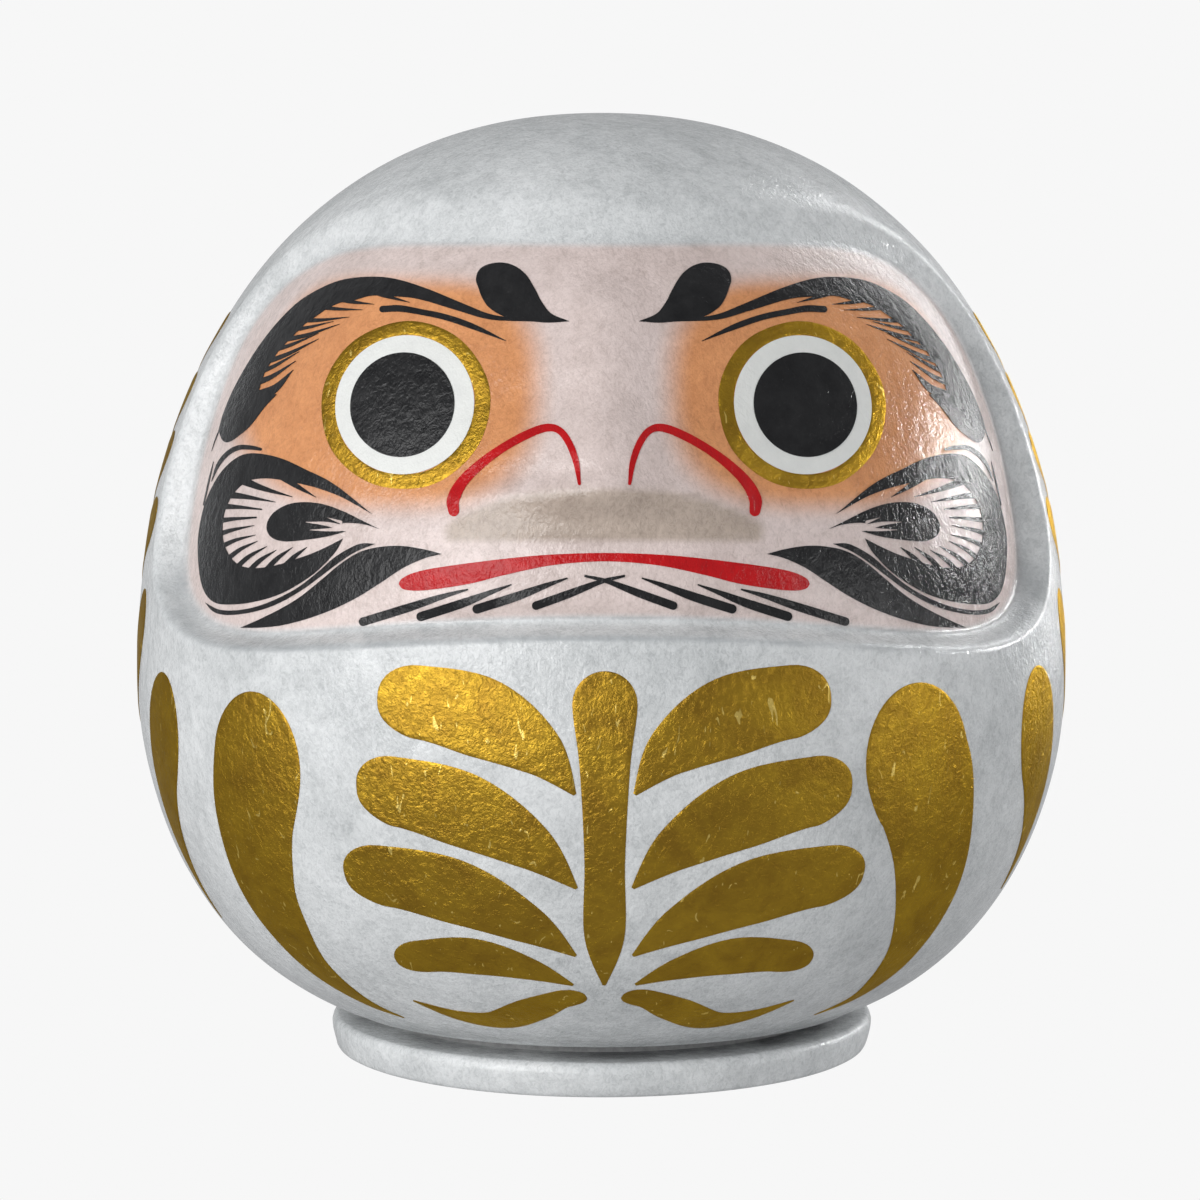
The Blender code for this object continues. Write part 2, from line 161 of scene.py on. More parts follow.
def throw(x, z):
    """Azimuth and height of the face's points that the view point sees behind the drawing's points.

    The face is drawn on a smooth bowl DRAWING_DEPTH inside the body; x runs across it, seen from
    the front. Damped Newton steps find both unknowns together.
    """
    x = np.asarray(x, float)
    z = np.asarray(z, float)
    angle = np.arcsin(np.clip(x / radius(z), -1.0, 1.0))
    away = moved_out(angle, z, -DRAWING_DEPTH) - VIEW_POINT
    aim = away[..., ::2] / away[..., 1:2]
    azimuths, heights = np.degrees(angle), z.copy()

    def seen(a, h):
        place = skin(a, h) - VIEW_POINT
        return place[..., ::2] / place[..., 1:2]

    probe = 0.05
    damping = 0.8
    most = 3.0
    for _ in range(14):
        here = seen(azimuths, heights)
        by_a = (seen(azimuths + probe, heights) - here) / probe
        by_z = (seen(azimuths, heights + probe) - here) / probe
        miss = aim - here
        whole = by_a[..., 0] * by_z[..., 1] - by_a[..., 1] * by_z[..., 0]
        whole = np.where(np.abs(whole) < 1e-9, 1e-9, whole)
        turn = (miss[..., 0] * by_z[..., 1] - miss[..., 1] * by_z[..., 0]) / whole
        climb = (by_a[..., 0] * miss[..., 1] - by_a[..., 1] * miss[..., 0]) / whole
        azimuths = np.clip(azimuths + np.clip(damping * turn, -most, most), -76.0, 76.0)
        heights = heights + np.clip(damping * climb, -most, most)
    return azimuths, heights


def front_view(points):
    """Where points appear on a flat drawing in front of the face, seen from the view point."""
    away = points - VIEW_POINT
    scale = (DRAWING_PLANE - VIEW_POINT[1]) / away[..., 1]
    return VIEW_POINT[0] + away[..., 0] * scale, VIEW_POINT[2] + away[..., 2] * scale


# ---------------- materials
def material(name):
    mat = bpy.data.materials.new(name)
    mat.use_nodes = True
    return mat, mat.node_tree, mat.node_tree.nodes["Principled BSDF"]


def fill(made, **values):
    """Values for the inputs of a node, with _ for a space in their names."""
    for key, value in values.items():
        made.inputs[key.replace("_", " ")].default_value = value


def link(source, target):
    source.id_data.links.new(source, target)


def node(tree, kind, **values):
    """A new node; each value is a property of the node or one of its inputs."""
    made = tree.nodes.new(kind)
    for key, value in values.items():
        if hasattr(made, key):
            setattr(made, key, value)
        else:
            fill(made, **{key: value})
    return made


def object_coordinates(tree, stretch=(1.0, 1.0, 1.0)):
    mapping = node(tree, "ShaderNodeMapping", Scale=stretch)
    link(node(tree, "ShaderNodeTexCoord").outputs["Object"], mapping.inputs["Vector"])
    return mapping.outputs["Vector"]


def noise(tree, vector, scale, detail=3.0, rough=0.55, distort=0.0):
    values = {"Scale": scale, "Detail": detail, "Roughness": rough, "Distortion": distort}
    made = node(tree, "ShaderNodeTexNoise", **values)
    link(vector, made.inputs["Vector"])
    return made.outputs["Fac"]


def ramp(tree, value, low, high, out_low=0.0, out_high=1.0):
    values = {"From_Min": low, "From_Max": high, "To_Min": out_low, "To_Max": out_high}
    made = node(tree, "ShaderNodeMapRange", **values)
    link(value, made.inputs["Value"])
    return made.outputs["Result"]


def math_node(tree, operation, first, second):
    made = node(tree, "ShaderNodeMath", operation=operation)
    for slot, value in zip(made.inputs, (first, second)):
        if isinstance(value, (int, float)):
            slot.default_value = value
        else:
            link(value, slot)
    return made.outputs["Value"]


def mix(tree, factor, first, second):
    made = node(tree, "ShaderNodeMix", data_type="RGBA")
    link(factor, made.inputs["Factor"])
    colors = [slot for slot in made.inputs if slot.type == "RGBA"]
    for slot, value in zip(colors, (first, second)):
        if isinstance(value, tuple):
            slot.default_value = (*value, 1.0)
        else:
            link(value, slot)
    return [slot for slot in made.outputs if slot.type == "RGBA"][0]


def bump_chain(tree, shader, layers, strength=1.0):
    """Relief from several patterns, each with its height in millimetres."""
    last = None
    for pattern, height in layers:
        made = node(tree, "ShaderNodeBump", Strength=strength, Distance=height * MM)
        link(pattern, made.inputs["Height"])
        if last:
            link(last, made.inputs["Normal"])
        last = made.outputs["Normal"]
    link(last, shader.inputs["Normal"])


def paper_bump(tree, shader, strength, fine, middle, coarse):
    """Fibres, crinkle and lumps of pasted paper, with their heights in millimetres."""
    upright = object_coordinates(tree, (1.0, 1.0, 0.75))
    plain = object_coordinates(tree)
    grain = noise(tree, upright, 2100.0, 3.0, 0.65)
    crinkle = noise(tree, upright, 620.0, 3.0, 0.62, 0.4)
    lumps = noise(tree, plain, 130.0, 2.0, 0.5)
    layers = ((lumps, coarse), (crinkle, middle), (grain, fine))
    bump_chain(tree, shader, layers, strength)
    return crinkle


# Scale in height, noise values, the noise's clean and dark levels, and share of each layer.
STAINS = (
    (1.0, (42.0, 6.0, 0.64, 0.4), 0.40, 0.72, 0.45),
    (1.0, (190.0, 5.0, 0.7, 0.6), 0.42, 0.72, 0.40),
    (0.85, (1000.0, 5.0, 0.78, 1.2), 0.44, 0.70, 0.62),
)


def stain_mask(tree):
    """Smoky grey clouds, patches and short fibres, 0 clean to 1 dark."""
    total = None
    for height, pattern, low, high, share in STAINS:
        vector = object_coordinates(tree, (1.0, 1.0, height))
        grey = ramp(tree, noise(tree, vector, *pattern), low, high)
        part = math_node(tree, "MULTIPLY", grey, share)
        total = math_node(tree, "ADD", total, part) if total else part
    return math_node(tree, "MINIMUM", total, 1.0)


def attribute(tree, name):
    return node(tree, "ShaderNodeAttribute", attribute_name=name).outputs["Fac"]


# Dirt and painted shade along the face's rim, and painted shade on the foot's top under the body.
RIM_DIRT_AND_SHADE = (0.42, 0.445, 0.46)
FOOT_SHADE = (0.16, 0.165, 0.17)
# Mask, clean colour and stained colour of each airbrushed coat, in the order they are laid on; the
# last coat is painted shade under the nose.
AIRBRUSH = (
    ("pink", (0.845, 0.715, 0.68), (0.57, 0.465, 0.43)),
    ("orange", (0.83, 0.37, 0.155), (0.56, 0.225, 0.09)),
    ("nose_shade", (0.58, 0.475, 0.40), (0.36, 0.285, 0.235)),
)


def white_paint(name, shaded_and_dirty=False, face=False):
    """Mottled white lacquer on moulded paper, with soiling, painted shade and airbrushed face
    colours.
    """
    mat, tree, shader = material(name)
    stains = stain_mask(tree)
    color = mix(tree, stains, (0.835, 0.852, 0.856), (0.50, 0.52, 0.525))
    # dirt and painted shade along the face's rim; painted shade on the foot's top under the body
    if shaded_and_dirty:
        clouds = noise(tree, object_coordinates(tree), 70.0, 4.0, 0.6)
        patchy = ramp(tree, clouds, 0.3, 0.62)
        shade_and_dirt = math_node(tree, "MULTIPLY", attribute(tree, "dirt_and_shade"), patchy)
        color = mix(tree, shade_and_dirt, color, RIM_DIRT_AND_SHADE if face else FOOT_SHADE)
    if face:
        for mask, clean, stained in AIRBRUSH:
            tint = mix(tree, stains, clean, stained)
            color = mix(tree, attribute(tree, mask), color, tint)
    link(color, shader.inputs["Base Color"])
    crinkle = paper_bump(tree, shader, 0.8, 0.11, 0.26, 0.30)
    link(ramp(tree, crinkle, 0.3, 0.7, 0.13, 0.25), shader.inputs["Roughness"])
    fill(shader, Specular_IOR_Level=0.5)
    return mat


def lacquer(name, light, dark, rough=(0.12, 0.20), bump=0.9):
    """Brushed face paint over the paper's crinkle."""
    mat, tree, shader = material(name)
    plain = object_coordinates(tree)
    wear = ramp(tree, noise(tree, plain, 260.0, 5.0, 0.65), 0.35, 0.7)
    link(mix(tree, wear, dark, light), shader.inputs["Base Color"])
    crinkle = paper_bump(tree, shader, bump, 0.12, 0.28, 0.34)
    link(ramp(tree, crinkle, 0.3, 0.7, *rough), shader.inputs["Roughness"])
    fill(shader, Specular_IOR_Level=0.30)
    return mat


def gold_leaf(name):
    """Leaf that took the crinkle of the paper, with rubbed patches and small bright scratches."""
    mat, tree, shader = material(name)
    plain = object_coordinates(tree)
    rub = ramp(tree, noise(tree, plain, 120.0, 6.0, 0.7, 0.5), 0.35, 0.7)
    color = mix(tree, rub, (0.37, 0.212, 0.026), (0.55, 0.34, 0.034))
    long_space = object_coordinates(tree, (1.0, 1.0, 0.35))
    threads = noise(tree, long_space, 640.0, 1.0, 0.4, 1.6)
    scratches = ramp(tree, threads, 0.715, 0.75)
    color = mix(tree, scratches, color, (0.85, 0.62, 0.16))
    link(color, shader.inputs["Base Color"])
    fill(shader, Metallic=1.0, Specular_Tint=(0.82, 0.72, 0.48, 1.0))
    rough = ramp(tree, noise(tree, plain, 420.0, 4.0, 0.6), 0.3, 0.7, 0.30, 0.44)
    link(rough, shader.inputs["Roughness"])
    grain = noise(tree, plain, 2000.0, 3.0, 0.62)
    crinkle = noise(tree, plain, 760.0, 4.0, 0.68, 0.9)
    lumps = noise(tree, plain, 170.0, 2.0, 0.5)
    bump_chain(tree, shader, ((lumps, 0.24), (crinkle, 0.24), (grain, 0.10)))
    return mat


def raw_paper(name, color, dark):
    """Bare paper with fibres."""
    mat, tree, shader = material(name)
    plain = object_coordinates(tree)
    fibres = ramp(tree, noise(tree, plain, 700.0, 6.0, 0.7), 0.35, 0.7)
    link(mix(tree, fibres, color, dark), shader.inputs["Base Color"])
    paper_bump(tree, shader, 0.8, 0.09, 0.17, 0.30)
    fill(shader, Roughness=0.85)
    return mat


# ---------------- mesh helpers
def make_piece(name, points, faces, mat, replaced=(), sharp=40.0):
    """A visible piece on the one body, from points in millimetres."""
    mesh = bpy.data.meshes.new(name)
    mesh.from_pydata((np.asarray(points) * MM).tolist(), [], faces)
    mesh.validate()
    mesh.shade_smooth()
    mesh.set_sharp_from_angle(angle=math.radians(sharp))
    mesh.materials.append(mat)
    obj = bpy.data.objects.new(name, mesh)
    bpy.context.collection.objects.link(obj)
    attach(obj, "root")
    if replaced:
        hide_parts(*replaced)
    return obj


def store(obj, name, values, first=0):
    """A value on each of the piece's points from the first on, and 0 on the others."""
    data = np.zeros(len(obj.data.vertices), np.float32)
    data[first: first + values.size] = values.reshape(-1)
    obj.data.attributes.new(name, "FLOAT", "POINT").data.foreach_set("value", data)


def grid_faces(rows, columns, start=0, flip=False):
    faces = []
    for i in range(rows - 1):
        base = start + i * columns
        for j in range(base, base + columns - 1):
            quad = (j, j + 1, j + columns + 1, j + columns)
            faces.append(quad[::-1] if flip else quad)
    return faces


def slab(name, outer, inner, mat, replaced=()):
    """Closed solid between two grids of points: rows run up and columns to the right."""
    rows, columns = outer.shape[:2]
    under = rows * columns
    faces = grid_faces(rows, columns) + grid_faces(rows, columns, under, True)
    border = list(range(columns))
    border += [i * columns + columns - 1 for i in range(1, rows)]
    border += [(rows - 1) * columns + j for j in range(columns - 2, -1, -1)]
    border += [i * columns for i in range(rows - 2, 0, -1)]
    for a, b in zip(border, border[1:] + border[:1]):
        faces.append((a, a + under, b + under, b))
    points = np.concatenate([outer.reshape(-1, 3), inner.reshape(-1, 3)])
    return make_piece(name, points, faces, mat, replaced)


# ---------------- body
ZONE_DENSITY = 2.4
RIM_AZIMUTHS = ((-74.0, -64.0), (64.0, 74.0))
RIM_HEIGHTS = ((80.0, 90.5), (152.0, 156.0))
FRONT_STEP = 1.12
BACK_STEP = 1.6
# The inside of a half has every SKIP-th row and column of the outside.
SKIP = 4
# The halves end this far from the plane between them.
SEAM_GAP = 0.04
# Radius and height along the turned-in hem, from the mouth out and round the edge.
HEM = (
    (41.0, 8.95), (43.5, 8.9), (46.5, 8.85), (49.0, 8.85), (50.4, 8.9), (51.2, 9.12), (51.75, 9.48),
)


def spaced(places, lengths, step, zones=(), skip=1):
    """Places a step apart by length, closer in the zones. skip divides the number of gaps."""
    weight = np.full(len(places), 1.0 / step)
    for low, high in zones:
        weight[(places > low) & (places < high)] *= ZONE_DENSITY
    total = np.concatenate([[0.0], np.cumsum(0.5 * (weight[1:] + weight[:-1]) * np.diff(lengths))])
    count = skip * int(round(total[-1] / skip))
    return np.interp(np.linspace(0.0, total[-1], count + 1), total, places)


def azimuths_between(low, high, step, zones=()):
    marks = np.linspace(low, high, 4000)
    return spaced(marks, marks * math.pi / 180.0 * BODY_RADIUS, step, zones, SKIP)


def body_levels(step, zones=()):
    """Heights from just over the hem to just under the crown, spaced along the profile."""
    turn_low = -math.asin(((WIDEST_Z - HEM_Z - 0.9) / LOWER[0]) ** (LOWER[1] / 2.0))
    turn = np.linspace(turn_low, math.pi / 2.0, 4000)
    reach = np.where(turn >= 0.0, UPPER[0], LOWER[0])
    power = np.where(turn >= 0.0, UPPER[1], LOWER[1])
    z = WIDEST_Z + np.sign(turn) * reach * np.sin(np.abs(turn)) ** (2.0 / power)
    lengths = np.concatenate([[0.0], np.cumsum(np.hypot(np.diff(z), np.diff(radius(z))))])
    return spaced(z, lengths, step, zones)[:-1]


def hem_rows(azimuths):
    angle = np.radians(azimuths)
    rows = []
    for r, z in HEM:
        height = np.full_like(angle, z)
        rows.append(np.stack([r * np.sin(angle), -r * np.cos(angle), height], axis=-1))
    return np.array(rows)


def half_skin(name, side, azimuths, levels, mat, node_name):
    """One moulded half: the piece, its outside points over the hem, their azimuths and heights."""
    grid_a, grid_z = np.meshgrid(azimuths, levels)
    outer = np.concatenate([hem_rows(azimuths), skin(grid_a, grid_z)])
    rows, columns = outer.shape[:2]
    row_picks = sorted(set(range(0, rows, SKIP)) | {rows - 1})
    column_picks = list(range(0, columns, SKIP))
    few_a = azimuths[column_picks]
    hem = len(HEM)
    inner = []
    for i in row_picks:
        if i < hem:
            row = outer[i, column_picks].copy()
            row[:, 2] = HEM_Z + WALL - 0.1
        else:
            height = max(levels[i - hem], HEM_Z + WALL + 0.3)
            row = skin(few_a, np.full(len(few_a), height), -WALL)
        inner.append(row)
    inner = np.array(inner)
    few = inner.shape[1]
    under = rows * columns
    apex = under + inner.shape[0] * few
    tips = [(0, 0, CROWN_Z), (0, 0, CROWN_Z - WALL)]
    points = np.concatenate([outer.reshape(-1, 3), inner.reshape(-1, 3), tips])
    if side > 0:
        points[:, 1] = np.maximum(points[:, 1], SEAM_GAP)
    else:
        points[:, 1] = np.minimum(points[:, 1], -SEAM_GAP)
    faces = grid_faces(rows, columns) + grid_faces(inner.shape[0], few, under, True)
    top = (rows - 1) * columns
    faces += [(top + j, top + j + 1, apex) for j in range(columns - 1)]
    top_in = under + (inner.shape[0] - 1) * few
    faces += [(top_in + j + 1, top_in + j, apex + 1) for j in range(few - 1)]
    for j, (a, b) in enumerate(zip(column_picks, column_picks[1:])):
        faces.append((under + j, under + j + 1, *range(b, a - 1, -1)))
    for i, (a, b) in enumerate(zip(row_picks, row_picks[1:])):
        low, high = under + i * few, under + (i + 1) * few
        left = [k * columns for k in range(a, b + 1)]
        right = [k + columns - 1 for k in left]
        faces.append((*left[::-1], low, high))
        faces.append((*right, high + few - 1, low + few - 1))
    faces.append((top + columns - 1, apex, apex + 1, top_in + few - 1))
    faces.append((apex, top, top_in, apex + 1))
    obj = make_piece(name, points, faces, mat, (node_name,), 50.0)
    return obj, outer[hem:], grid_a, grid_z


def soft_step(value, low, high):
    """0 below low, 1 above high and smooth between."""
    t = np.clip((value - low) / (high - low), 0.0, 1.0)
    return t * t * (3.0 - 2.0 * t)


def paint_masks(obj, points, grid_a, grid_z):
    """Where airbrushed colours, soiling and painted shade lie, stored on the mesh's points."""
    x, z = front_view(points)
    x = np.abs(x)
    level = outline_level(grid_a, grid_z, FACE_FLOOR)
    rim = outline_level(grid_a, grid_z, FACE_RIM)
    pink = 1.0 - soft_step(level, 0.970, 1.016)

    # a rounded patch round the eye that ends under the brow
    eye = (np.abs((x - 36.5) / 25.8) ** 2.7 + np.abs((z - 127.0) / 20.5) ** 2.7) ** (1.0 / 2.7)
    brow = 144.6 - 26.0 * np.clip((x - 38.0) / 24.0, 0.0, 2.0) ** 3.0
    orange = (1.0 - soft_step(eye, 0.84, 1.12)) * (1.0 - soft_step(z - brow, -2.5, 3.0)) * pink

    # painted shade under the nose: a band over the mouth, arched on top and straight below
    arch = 110.4 - 6.0 * (x / 26.4) ** 2.8
    ends = np.hypot(np.maximum(0.0, x - 22.0) / 5.2, (z - 104.5) / 13.0)
    nose_shade = 1.0 - soft_step(ends, 0.78, 1.02)
    nose_shade = nose_shade * (1.0 - soft_step(z, arch - 1.4, arch + 0.4)) * soft_step(z, 100.4, 101.9)

    # painted shade in the crease at the foot of the rim and, low down, dirt along its edge
    low = 1.0 - soft_step(z, 92.0, 100.0)
    crease = np.exp(-(((level - 1.004) / 0.008) ** 2))
    edge = np.exp(-(((rim - 0.975) / 0.016) ** 2)) * low
    dirt_and_shade = np.clip((0.25 + 0.6 * low) * crease + 0.8 * edge, 0.0, 1.0)
    dirt_and_shade[np.abs(grid_a) > 88.0] = 0.0
    first = len(HEM) * grid_a.shape[1]
    for name, values in (("pink", pink), ("orange", orange), ("nose_shade", nose_shade), ("dirt_and_shade", dirt_and_shade)):
        store(obj, name, values, first)


def build_body(mats):
    step = FRONT_STEP
    front = azimuths_between(-90.0, 90.0, step, RIM_AZIMUTHS)
    levels = body_levels(step, RIM_HEIGHTS)
    paint_masks(*half_skin("skin_front", -1, front, levels, mats["face"], "front_shell"))
    back = azimuths_between(90.0, 270.0, BACK_STEP)
    levels = body_levels(BACK_STEP)
    half_skin("skin_back", 1, back, levels, mats["white"], "back_shell")


FOOT_LOW = (
    (0.0, 0.8), (45.96, 0.8), (46.0, 0.75), (46.0, 0.1), (46.1, 0.0), (50.8, 0.0), (51.5, 0.06),
    (51.95, 0.3), (52.2, 0.7), (52.45, 1.3), (52.75, 2.4), (52.98, 3.4), (53.1, 4.3), (53.12, 4.8),
    (53.02, 5.2),
)
FOOT_TOP = (
    (47.5, 6.5), (45.2, 6.5), (44.0, 6.62), (43.72, 6.9), (43.7, 7.4), (43.7, 8.35), (43.55, 8.5),
    (40.9, 8.5), (40.7, 8.7), (40.7, 14.6), (40.3, 15.0), (20.0, 15.0), (0.0, 15.0),
)


def foot_profile():
    """Radius and height from the underside round the rim to the top of the plug in the shell."""
    rim = []
    for k in range(1, 8):
        angle = math.radians(12.0 + 78.0 * k / 7)
        rim.append((51.7 + 1.3 * math.cos(angle), 5.15 + 1.3 * math.sin(angle)))
    return [*FOOT_LOW, *rim, *FOOT_TOP]


def foot_wave(angle, r, z):
    """The rim of the foot is slightly out of round."""
    if z <= 1.0 or r <= 44.0:
        return 0.0
    return 0.10 * math.sin(3.0 * angle + 0.7) + 0.05 * math.sin(7.0 * angle)


def build_foot(mats):
    """The clay foot, with softly rounded edges, a slightly wavy rim and painted shade on its top
    under the body.
    """
    steps = 288
    points = []
    rings = []
    for r, z in foot_profile():
        if r == 0.0:
            rings.append([len(points)] * steps)
            points.append((0.0, 0.0, z))
            continue
        rings.append(list(range(len(points), len(points) + steps)))
        for k in range(steps):
            angle = math.tau * k / steps
            out = r + foot_wave(angle, r, z)
            points.append((out * math.cos(angle), out * math.sin(angle), z))
    faces = []
    for low, high in zip(rings, rings[1:]):
        for k in range(steps):
            n = (k + 1) % steps
            corners = dict.fromkeys((low[k], low[n], high[n], high[k]))
            faces.append(tuple(corners))
    replaced = ("foot_weight",)
    foot = make_piece("foot_skin", points, faces, mats["foot"], replaced, 50.0)
    points = np.array(points)
    reach = np.hypot(points[:, 0], points[:, 1])
    # painted shade on the foot's top under the body, fading out towards its rim
    store(foot, "dirt_and_shade", 0.85 * (1.0 - soft_step(reach, 45.5, 52.4)) * (points[:, 2] > 6.0))


# ---------------- gold leaf
# Knots of each stroke: azimuth, height, half width.
FRONT_LEFT = (
    (-41.1, 74.4, 0.0), (-43.0, 61.8, 11.2), (-45.0, 53.2, 10.6), (-46.1, 46.2, 9.8),
    (-46.9, 39.4, 8.7), (-46.8, 32.6, 7.5), (-46.1, 25.8, 5.4), (-44.2, 21.0, 3.7),
    (-40.8, 16.5, 1.7), (-36.4, 14.0, 0.3),
)
FRONT_RIGHT = (
    (34.6, 76.1, 0.0), (37.5, 63.1, 11.8), (39.8, 56.9, 11.3), (42.2, 49.0, 10.1),
    (44.2, 41.0, 9.0), (45.6, 33.9, 7.5), (46.4, 27.6, 5.6), (46.2, 21.8, 3.9), (44.3, 17.0, 1.6),
    (39.0, 14.1, 0.3),
)
SIDE_LEFT = (
    (-62.0, 75.7, 0.0), (-64.4, 64.6, 8.2), (-66.6, 57.2, 7.3), (-68.0, 50.0, 5.4),
    (-69.0, 43.0, 3.5), (-69.8, 36.0, 1.9), (-70.0, 28.5, 0.3),
)
SIDE_RIGHT = (
    (59.8, 76.8, 0.0), (63.1, 64.8, 9.0), (65.3, 58.6, 8.2), (67.3, 51.6, 6.2), (68.6, 46.2, 4.2),
    (69.5, 40.6, 2.3), (69.9, 34.0, 0.3),
)
SLEEVES = (
    ((76.2, 141.2, 0.0), (80.6, 138.6, 4.0), (88.0, 133.6, 4.6), (98.0, 126.4, 3.8),
     (112.0, 116.0, 0.3)),
    ((76.0, 129.4, 0.0), (80.4, 126.6, 4.4), (88.6, 120.6, 5.0), (102.0, 111.0, 4.0),
     (120.0, 98.0, 0.3)),
    ((74.8, 118.0, 0.0), (79.4, 115.0, 4.6), (88.6, 108.0, 5.2), (104.0, 96.5, 4.2),
     (124.0, 82.0, 0.3)),
    ((73.4, 105.6, 0.0), (78.2, 102.0, 4.8), (88.8, 93.4, 5.2), (104.0, 80.2, 4.2),
     (122.0, 63.4, 0.3)),
    ((73.2, 90.0, 0.0), (77.0, 81.6, 5.0), (84.0, 69.8, 5.4), (94.0, 55.5, 4.4),
     (106.0, 39.0, 0.3)),
)
STEM = (
    (0.0, 80.0, 0.0), (0.0, 74.5, 5.4), (0.0, 64.0, 4.2), (0.0, 48.0, 3.4), (0.0, 34.0, 3.4),
    (0.0, 24.6, 0.3),
)
LEAVES = (
    ((25.0, 73.4, 0.0), (20.4, 74.4, 6.2), (13.0, 72.0, 6.8), (7.0, 66.6, 4.4), (3.2, 59.4, 0.3)),
    ((28.2, 58.2, 0.0), (23.6, 59.0, 6.2), (15.4, 56.2, 6.8), (8.2, 50.2, 4.4), (3.2, 43.0, 0.3)),
    ((31.8, 42.4, 0.0), (26.6, 43.8, 6.0), (17.4, 41.6, 6.6), (9.4, 36.2, 4.2), (3.6, 30.4, 0.3)),
    ((28.4, 27.0, 0.0), (24.0, 29.0, 3.8), (16.6, 29.6, 4.4), (9.8, 27.6, 2.8), (4.2, 24.6, 0.3)),
)
WAVE = (
    (2.4, 21.8, 0.0), (5.8, 21.6, 2.6), (10.6, 19.0, 3.6), (16.8, 16.0, 3.4), (23.6, 16.4, 2.1),
    (30.0, 19.0, 0.3),
)
# Middle x and z, then half widths and heights: outside of the ring and inside of it.
EYE = (36.8, 126.4, 16.1, 15.3, 13.25, 12.7)
# Leaf starts this far above the skin.
LEAF_LIFT = 0.03
STROKE_STEP = 0.9
# Distances from a leaf's edge at which its surface has points, close where it rises.
EDGE_PLACES = (0.0, 0.12, 0.26, 0.42, 0.60, 0.80, 1.10)


def blend(p0, p1, p2, p3, u):
    """Value between p1 and p2 on a smooth curve through four values, u from 0 to 1."""
    bend = 2.0 * p1 + (p2 - p0) * u + (2.0 * p0 - 5.0 * p1 + 4.0 * p2 - p3) * u * u
    return 0.5 * (bend + (3.0 * p1 - p0 - 3.0 * p2 + p3) * u**3)


def along(knots, t):
    """Smooth curve through the knots, t from 0 to the last knot's number."""
    i = min(int(t), len(knots) - 2)
    before = knots[max(i - 1, 0)]
    after = knots[min(i + 2, len(knots) - 1)]
    return [blend(*four, t - i) for four in zip(before, knots[i], knots[i + 1], after)]


def knot_distance(a, b):
    """Rough distance between knots in millimetres: a degree is about 1.5 mm there."""
    return math.hypot((b[0] - a[0]) * 1.5, b[1] - a[1])


def half_width(knots, t):
    """Half width of the stroke: an ellipse up to the second knot, then smooth through the knots."""
    if t < 1.0:
        part = knot_distance(knots[0], along(knots, t)) / knot_distance(knots[0], knots[1])
        return knots[1][2] * math.sqrt(max(0.0, 1.0 - max(0.0, 1.0 - part) ** 2))
    level = ((knots[0][0], knots[0][1], knots[2][2]), *knots[1:])
    return max(0.08, along(level, t)[2])


def emboss(distance):
    """Height of the leaf over its edge: a quick rise to a fine ridge, then a flat field."""
    rise = 0.09 * (1.0 - np.exp(-((distance / 0.28) ** 1.4)))
    return 0.03 + rise + 0.014 * np.exp(-(((distance - 0.85) / 0.30) ** 2))


def leaf_stroke(name, knots, mat, replaced):
    """A raised stroke of leaf from (azimuth, height, half width) knots, laid on the skin."""
    last = len(knots) - 1
    length = sum(knot_distance(a, b) for a, b in zip(knots, knots[1:]))
    head = [0.0006, 0.004] + [1.0 - math.cos(math.pi / 2.0 * k / 14) for k in range(1, 14)]
    body_rows = max(24, int(length * (last - 1) / last / STROKE_STEP))
    ts = head + [1.0 + (last - 1.0) * k / body_rows for k in range(body_rows + 1)]
    rows = []
    run_length = 0.0
    previous = None
    for t in ts:
        azimuth, z, _ = along(knots, t)
        near = along(knots, max(0.0, t - 0.05))
        far = along(knots, min(last, t + 0.05))
        per_degree = float(radius(np.array(z))) * math.pi / 180.0
        per_rise = math.hypot(1.0, float(slope(np.array(z))))
        run = (far[0] - near[0]) * per_degree
        rise = (far[1] - near[1]) * per_rise
        size = math.hypot(run, rise)
        wide = half_width(knots, t)
        place = (azimuth * per_degree, z * per_rise)
        run_length += math.dist(place, previous) if previous else 0.3
        previous = place
        edge = np.array([*EDGE_PLACES, 1.60]) * min(1.0, wide / 1.9)
        middle = np.linspace(edge[-1], 2.0 * wide - edge[-1], 9)[1:-1]
        across = np.concatenate([edge, middle, (2.0 * wide - edge)[::-1]])
        distance = np.minimum(np.minimum(across, 2.0 * wide - across), run_length * 0.9)
        s = across - wide
        a_row = azimuth - s * rise / size / per_degree
        z_row = z + s * run / size / per_rise
        rows.append((a_row, z_row, emboss(distance)))
    grid_a, grid_z, height = (np.array(part) for part in zip(*rows[::-1]))
    outer = skin(grid_a, grid_z, LEAF_LIFT + height)
    inner = skin(grid_a, grid_z, LEAF_LIFT)
    return slab(name, outer, inner, mat, replaced)


def mirrored(knots):
    return tuple((-azimuth, z, wide) for azimuth, z, wide in knots)


